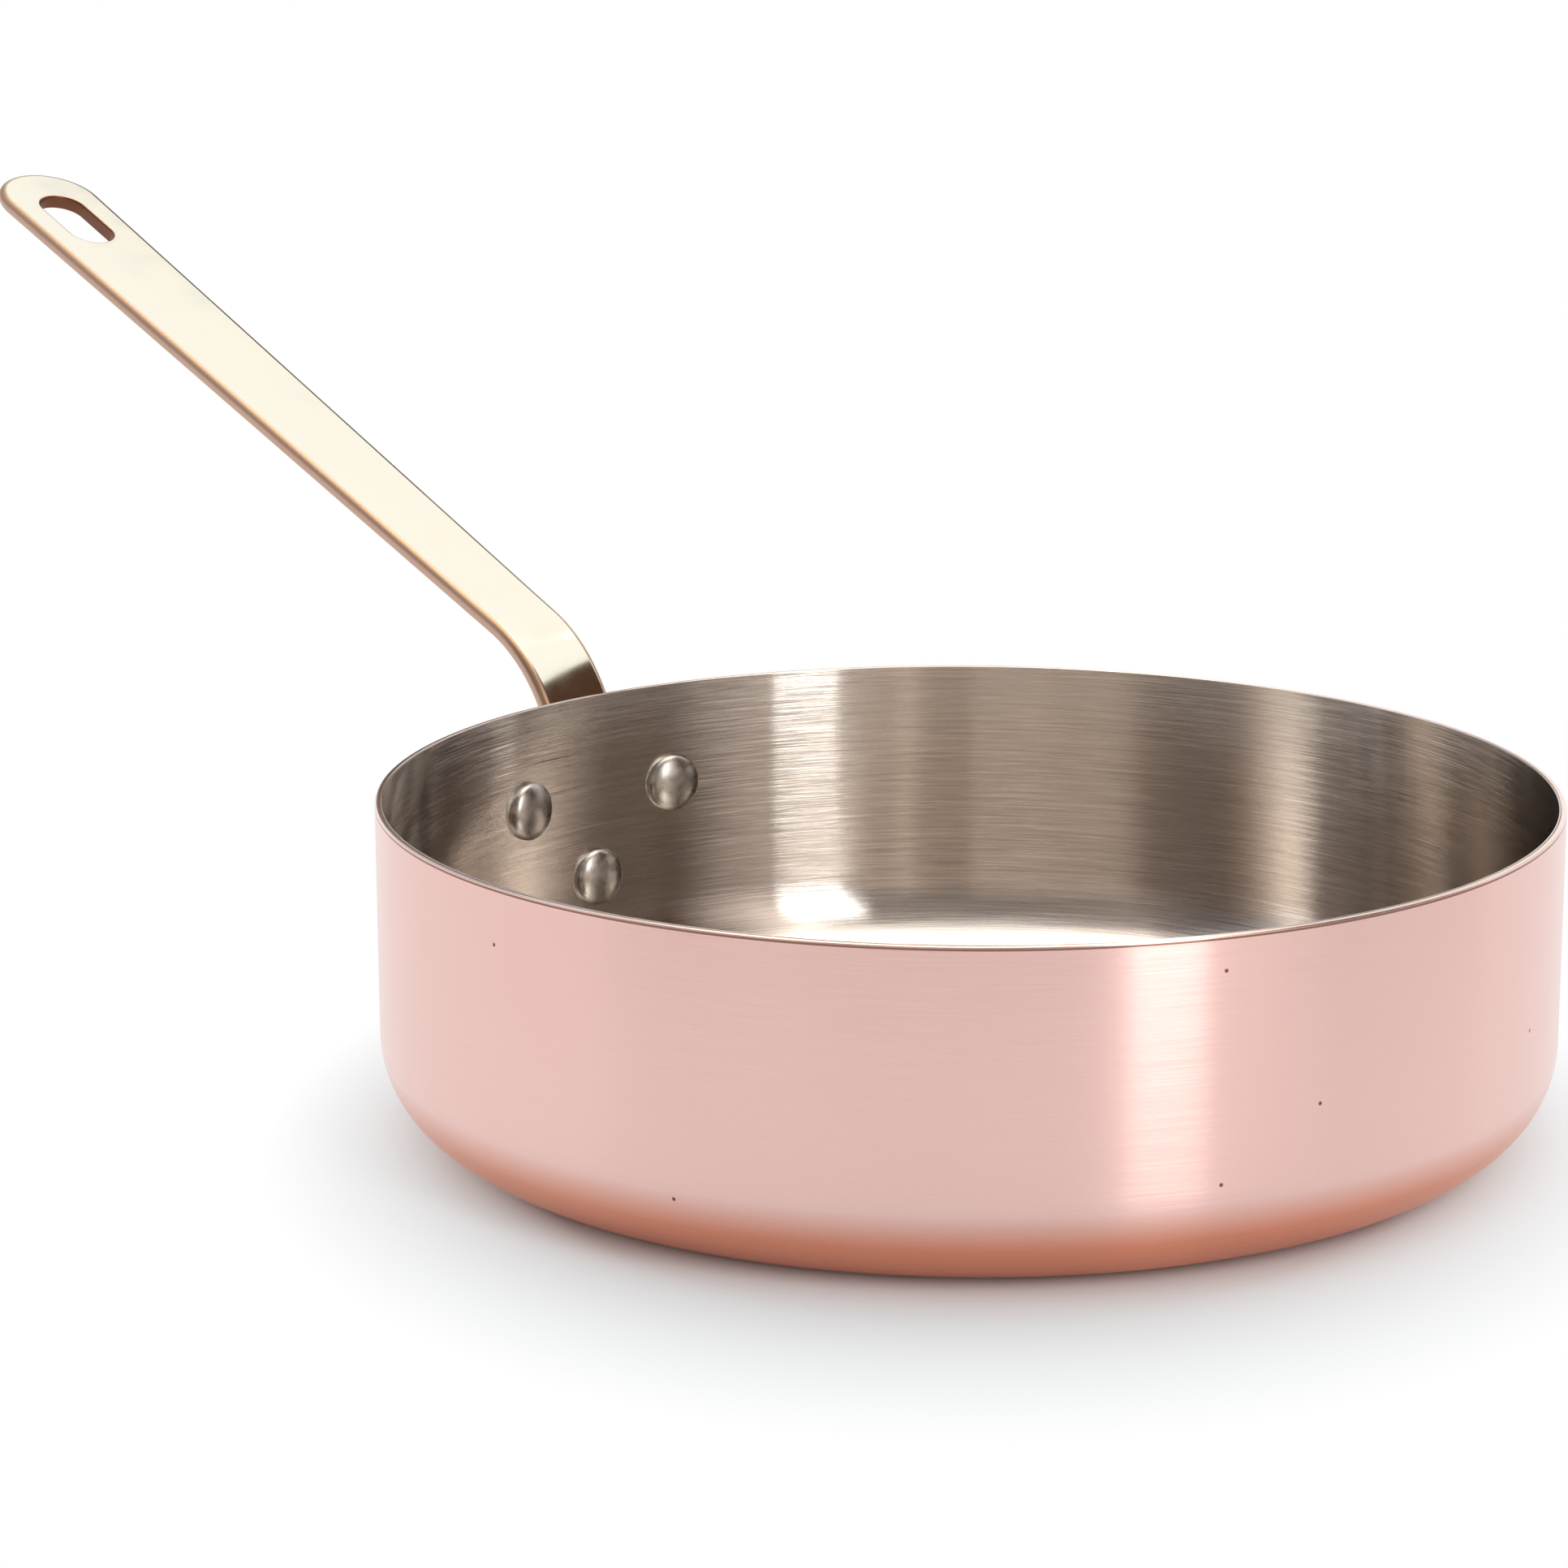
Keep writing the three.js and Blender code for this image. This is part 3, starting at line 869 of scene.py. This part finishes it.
def floor_finish():
    """White paper: it takes the shadow near the pan, and glows where it is only background."""
    material = bpy.data.materials.new("white_floor")
    material.use_nodes = True
    tree = material.node_tree
    tree.nodes.clear()
    place = object_axes(tree)[0]
    facing = add_node(tree, "ShaderNodeMapping", {
        "Vector": place, "Rotation": (0.0, 0.0, -CAMERA_BEARING), "Location": (-SHADOW_SHIFT, 0.0, 0.0),
    }).outputs[0]
    squeezed = vector_math(tree, "MULTIPLY", {0: facing, 1: (1.0, SHADOW_SQUEEZE, 1.0)})
    radius = vector_math(tree, "LENGTH", {0: squeezed}, "Value")
    glow_share = map_range(tree, radius, SHADOW_INNER, SHADOW_OUTER, 0.0, 1.0)
    path = add_node(tree, "ShaderNodeLightPath").outputs
    seen = add_math(tree, "ADD", path["Is Camera Ray"], path["Is Glossy Ray"])
    seen = add_math(tree, "MINIMUM", add_math(tree, "ADD", seen, path["Is Transmission Ray"]), 1.0)
    paper = add_node(tree, "ShaderNodeBsdfDiffuse", {"Color": (*PAPER_TONE, 1.0)})
    glow = add_node(tree, "ShaderNodeEmission", {"Color": (1.0, 1.0, 1.0, 1.0), "Strength": seen})
    both = add_node(tree, "ShaderNodeMixShader", {0: glow_share, 1: paper.outputs[0], 2: glow.outputs[0]})
    add_node(tree, "ShaderNodeOutputMaterial", {"Surface": both.outputs[0]})
    return material


def floor():
    mesh = bpy.data.meshes.new("floor")
    corners = [(-1.0, -1.0), (1.0, -1.0), (1.0, 1.0), (-1.0, 1.0)]
    mesh.from_pydata([(x * FLOOR_REACH, y * FLOOR_REACH, 0.0) for x, y in corners], [], [(0, 1, 2, 3)])
    mesh.materials.append(floor_finish())
    new_object("floor", mesh)


def strip_light():
    """A tall soft box facing the pan. The metal mirrors it once or more, as each pale strip."""
    lamp = bpy.data.lights.new("strip_right", "AREA")
    lamp.shape = "RECTANGLE"
    lamp.size, lamp.size_y = STRIP_WIDTH, STRIP_TALL
    lamp.energy = STRIP_GLOW * math.pi * STRIP_WIDTH * STRIP_TALL
    holder = bpy.data.objects.new("strip_right", lamp)
    bpy.context.scene.collection.objects.link(holder)
    turn = CAMERA_BEARING + STRIP_BEARING
    holder.location = (STRIP_DISTANCE * math.cos(turn), STRIP_DISTANCE * math.sin(turn), STRIP_HEIGHT)
    holder.rotation_euler = (-holder.location).to_track_quat("-Z", "Y").to_euler()
    holder.visible_camera = False


def curtain_stop(bearing):
    """The curtain's foot, head and tone on a bearing, between its two nearest stops."""
    for before, after in zip(CURTAIN, CURTAIN[1:]):
        if before[0] <= bearing <= after[0]:
            share = (bearing - before[0]) / (after[0] - before[0])
            low, top = (before[i] + (after[i] - before[i]) * share for i in (1, 2))
            return low, top, Vector(before[3]).lerp(Vector(after[3]), share)


def curtain():
    """A curved studio curtain round the pan that only the metal mirrors, in tones from dark to pale."""
    first, last = CURTAIN[0][0], CURTAIN[-1][0]
    bearings = [first + CURTAIN_STEP * i for i in range(round((last - first) / CURTAIN_STEP) + 1)]
    stops = [curtain_stop(bearing) for bearing in bearings]
    turns = [CAMERA_BEARING + math.radians(bearing) for bearing in bearings]
    rounds = [(CURTAIN_RADIUS * math.cos(t), CURTAIN_RADIUS * math.sin(t)) for t in turns]
    feet = [(x, y, stop[0]) for (x, y), stop in zip(rounds, stops)]
    heads = [(x, y, stop[1]) for (x, y), stop in zip(rounds, stops)]
    count = len(bearings)
    faces = [(i, i + 1, count + i + 1, count + i) for i in range(count - 1)]
    mirrored_card("studio_curtain", feet + heads, faces, [stop[2] for stop in stops] * 2)


def overhead_card():
    """A wide bright card over the pan, which the brushed wall inside the bowl mirrors."""
    ahead = Vector((math.cos(CAMERA_BEARING), math.sin(CAMERA_BEARING), 0.0))
    middle = Vector((0.0, 0.0, OVERHEAD_HEIGHT)) - ahead * OVERHEAD_BACK
    side = Vector((-ahead.y, ahead.x, 0.0)) * OVERHEAD_WIDTH / 2
    reach = ahead * OVERHEAD_DEPTH / 2
    corners = [middle - side - reach, middle + side - reach, middle + side + reach, middle - side + reach]
    mirrored_card("overhead_card", corners, [(0, 1, 2, 3)], [OVERHEAD_TONE] * 4)


def back_flag():
    """A dark flag behind the handle, for the handle's far edge to mirror."""
    ahead = Vector((math.cos(FLAG_BEARING), math.sin(FLAG_BEARING), 0.0))
    side = Vector((-ahead.y, ahead.x, 0.0)) * FLAG_WIDTH / 2
    middle = Vector((FLAG_START, 0.0, 0.0)) + ahead * FLAG_DISTANCE
    foot, head = Vector((0.0, 0.0, FLAG_LOW)), Vector((0.0, 0.0, FLAG_TOP))
    corners = [middle - side + foot, middle + side + foot, middle + side + head, middle - side + head]
    mirrored_card("back_flag", corners, [(0, 1, 2, 3)], [FLAG_TONE] * 4)


def mirrored_card(name, points, faces, tones):
    """A card with a tone on each point, which shows in mirrors and nowhere else."""
    mesh = bpy.data.meshes.new(name)
    mesh.from_pydata(points, [], faces)
    shade = mesh.attributes.new("tone", "FLOAT_COLOR", "POINT")
    shade.data.foreach_set("color", [value for tone in tones for value in (*tone, 1.0)])
    material = bpy.data.materials.new(name)
    material.use_nodes = True
    tree = material.node_tree
    tree.nodes.clear()
    tone = add_node(tree, "ShaderNodeAttribute", attribute_name="tone").outputs["Color"]
    lit = add_node(tree, "ShaderNodeEmission", {"Color": tone})
    add_node(tree, "ShaderNodeOutputMaterial", {"Surface": lit.outputs[0]})
    mesh.materials.append(material)
    card = new_object(name, mesh)
    card.visible_camera = False
    card.visible_diffuse = False
    card.visible_shadow = False


def lights():
    world = bpy.data.worlds.new("studio")
    bpy.context.scene.world = world
    world.use_nodes = True
    background = world.node_tree.nodes["Background"]
    background.inputs["Color"].default_value = (1.0, 1.0, 1.0, 1.0)
    background.inputs["Strength"].default_value = 1.0
    strip_light()
    curtain()
    overhead_card()
    back_flag()


def camera():
    lens = bpy.data.cameras.new("photo_camera")
    lens.sensor_width = CAMERA_SENSOR
    lens.lens = CAMERA_LENS
    lens.clip_start = CAMERA_NEAR
    holder = bpy.data.objects.new("photo_camera", lens)
    bpy.context.scene.collection.objects.link(holder)
    forward = CAMERA_AIM.normalized()
    right = forward.cross(Vector((0.0, 0.0, 1.0))).normalized()
    level = Matrix((right, right.cross(forward), -forward)).transposed().to_4x4()
    roll = Matrix.Rotation(CAMERA_ROLL, 4, "Z")
    holder.matrix_world = Matrix.Translation(CAMERA_PLACE) @ level @ roll
    bpy.context.scene.camera = holder


def place_piece(piece, slot, *nodes):
    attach(piece, "root")
    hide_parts(*nodes)


def pan():
    tree = turned_tree()
    copper = bowl_layer("copper_bowl", tree, 0.0, COPPER_WALL, RIM_ROUND, copper_finish())
    lining_depth = COPPER_WALL + BOND_LINE
    lining = bowl_layer("lining_bowl", tree, lining_depth, LINING_WALL, LINING_ROUND, lining_finish())
    place_piece(copper, "copper", "copper_shell")
    place_piece(lining, "lining_steel", "steel_lining")
    place_piece(handle(brass_finish()), "brass", "handle")
    rivet_nodes = ("rivet_upper_left", "rivet_upper_right", "rivet_lower")
    place_piece(rivets(rivet_finish()), "rivet_steel", *rivet_nodes)


pan()
floor()
lights()
camera()

bpy.context.scene.view_settings.view_transform = "Standard"
